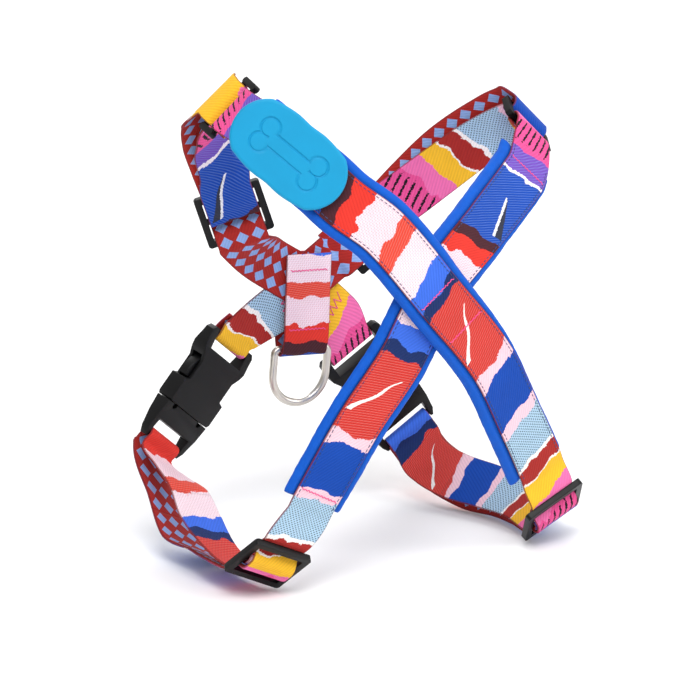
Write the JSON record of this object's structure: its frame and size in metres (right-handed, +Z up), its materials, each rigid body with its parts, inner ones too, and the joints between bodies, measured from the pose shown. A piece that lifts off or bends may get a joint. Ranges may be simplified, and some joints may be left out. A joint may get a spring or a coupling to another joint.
{
  "type": "no pull dog harness",
  "caption": "Dog walking harness of patterned webbing: padded chest crossing with a badge, strap adjusters, side-release buckles and a leash ring on a tab.",
  "frame": {"origin": "on the floor, under the middle of the harness's bounding box", "axes": "+X across the dog, +Y from the chest to the back, +Z up"},
  "size_m": [0.2039, 0.1353, 0.2441],
  "materials": {
    "web": "woven polyester with a multicolour artwork, matt",
    "lining": "padded knit fabric, matt",
    "badge": "moulded soft rubber, satin",
    "plastic": "moulded acetal, satin",
    "steel": "welded wire with satin nickel plating"
  },
  "bodies": {
    "harness": {"strap_a_webbing": "web", "strap_a_lining": "lining", "strap_b_webbing": "web", "strap_b_lining": "lining", "badge_cap": "badge", "neck_left_webbing": "web", "neck_right_webbing": "web", "back_left_webbing": "web", "back_right_webbing": "web", "leash_tab": "web", "girth_left_webbing": "web", "girth_right_webbing": "web", "left_buckle_socket": "plastic", "right_buckle_socket": "plastic"},
    "neck_left_ring": {"neck_left_ring": "plastic"},
    "neck_right_ring": {"neck_right_ring": "plastic"},
    "neck_left_slider": {"neck_left_slider": "plastic"},
    "neck_right_slider": {"neck_right_slider": "plastic"},
    "girth_left_slider": {"girth_left_slider": "plastic"},
    "girth_right_slider": {"girth_right_slider": "plastic"},
    "leash_ring": {"leash_ring": "steel"},
    "left_buckle_tongue": {"left_buckle_tongue": "plastic"},
    "left_buckle_prong_a": {"left_buckle_prong_a": "plastic"},
    "left_buckle_prong_b": {"left_buckle_prong_b": "plastic"},
    "right_buckle_tongue": {"right_buckle_tongue": "plastic"},
    "right_buckle_prong_a": {"right_buckle_prong_a": "plastic"},
    "right_buckle_prong_b": {"right_buckle_prong_b": "plastic"}
  },
  "joints": [
    {"name": "neck_left_ring_rock", "type": "hinge", "parent": "harness", "child": "neck_left_ring", "pos_m": [-0.07561, -0.00412, 0.23082], "axis": [0.7079, -0.1595, 0.688], "range_deg": [-4, 4]},
    {"name": "neck_right_ring_rock", "type": "hinge", "parent": "harness", "child": "neck_right_ring", "pos_m": [0.0863, -0.0056, 0.19665], "axis": [0.6763, -0.0298, -0.736], "range_deg": [-4, 4]},
    {"name": "neck_left_slider_travel", "type": "slide", "parent": "harness", "child": "neck_left_slider", "axis": [-0.335, 0.0017, 0.9422], "range_m": [0, 0.01], "deforming": ["neck_left_webbing"]},
    {"name": "neck_right_slider_travel", "type": "slide", "parent": "harness", "child": "neck_right_slider", "axis": [0.6832, -0.2948, 0.6681], "range_m": [0, 0.01], "deforming": ["neck_right_webbing"]},
    {"name": "girth_left_slider_travel", "type": "slide", "parent": "harness", "child": "girth_left_slider", "axis": [-0.3161, 0.6799, -0.6617], "range_m": [-0.01, 0.01], "deforming": ["girth_left_webbing"]},
    {"name": "girth_right_slider_travel", "type": "slide", "parent": "harness", "child": "girth_right_slider", "axis": [0.3161, 0.6799, -0.6617], "range_m": [-0.01, 0.01], "deforming": ["girth_right_webbing"]},
    {"name": "leash_ring_swing", "type": "hinge", "parent": "harness", "child": "leash_ring", "pos_m": [-0.00668, 0.05122, 0.08639], "axis": [0.995, 0, -0.0995], "range_deg": [-100, 10]},
    {"name": "left_buckle_release", "type": "slide", "parent": "harness", "child": "left_buckle_tongue", "axis": [-0.6547, 0.0057, -0.7559], "range_m": [0, 0.03], "deforming": ["girth_left_webbing", "left_buckle_prong_a", "left_buckle_prong_b"]},
    {"name": "left_prong_a_flex", "type": "hinge", "parent": "left_buckle_tongue", "child": "left_buckle_prong_a", "pos_m": [-0.06512, 0.05468, 0.05786], "axis": [0.1839, -0.9687, -0.1666], "range_deg": [0, 7], "stiffness_Nm_per_rad": 0.5},
    {"name": "left_prong_b_flex", "type": "hinge", "parent": "left_buckle_tongue", "child": "left_buckle_prong_b", "pos_m": [-0.08096, 0.04932, 0.07154], "axis": [-0.1839, 0.9687, 0.1666], "range_deg": [0, 7], "stiffness_Nm_per_rad": 0.5},
    {"name": "right_buckle_release", "type": "slide", "parent": "harness", "child": "right_buckle_tongue", "axis": [0.5639, -0.0006, -0.8258], "range_m": [0, 0.03], "deforming": ["girth_right_webbing", "right_buckle_prong_a", "right_buckle_prong_b"]},
    {"name": "right_prong_a_flex", "type": "hinge", "parent": "right_buckle_tongue", "child": "right_buckle_prong_a", "pos_m": [0.05537, 0.05603, 0.05366], "axis": [-0.0831, -0.995, -0.056], "range_deg": [0, 7], "stiffness_Nm_per_rad": 0.5},
    {"name": "right_prong_b_flex", "type": "hinge", "parent": "right_buckle_tongue", "child": "right_buckle_prong_b", "pos_m": [0.03763, 0.05819, 0.04154], "axis": [0.0831, 0.995, 0.056], "range_deg": [0, 7], "stiffness_Nm_per_rad": 0.5}
  ]
}
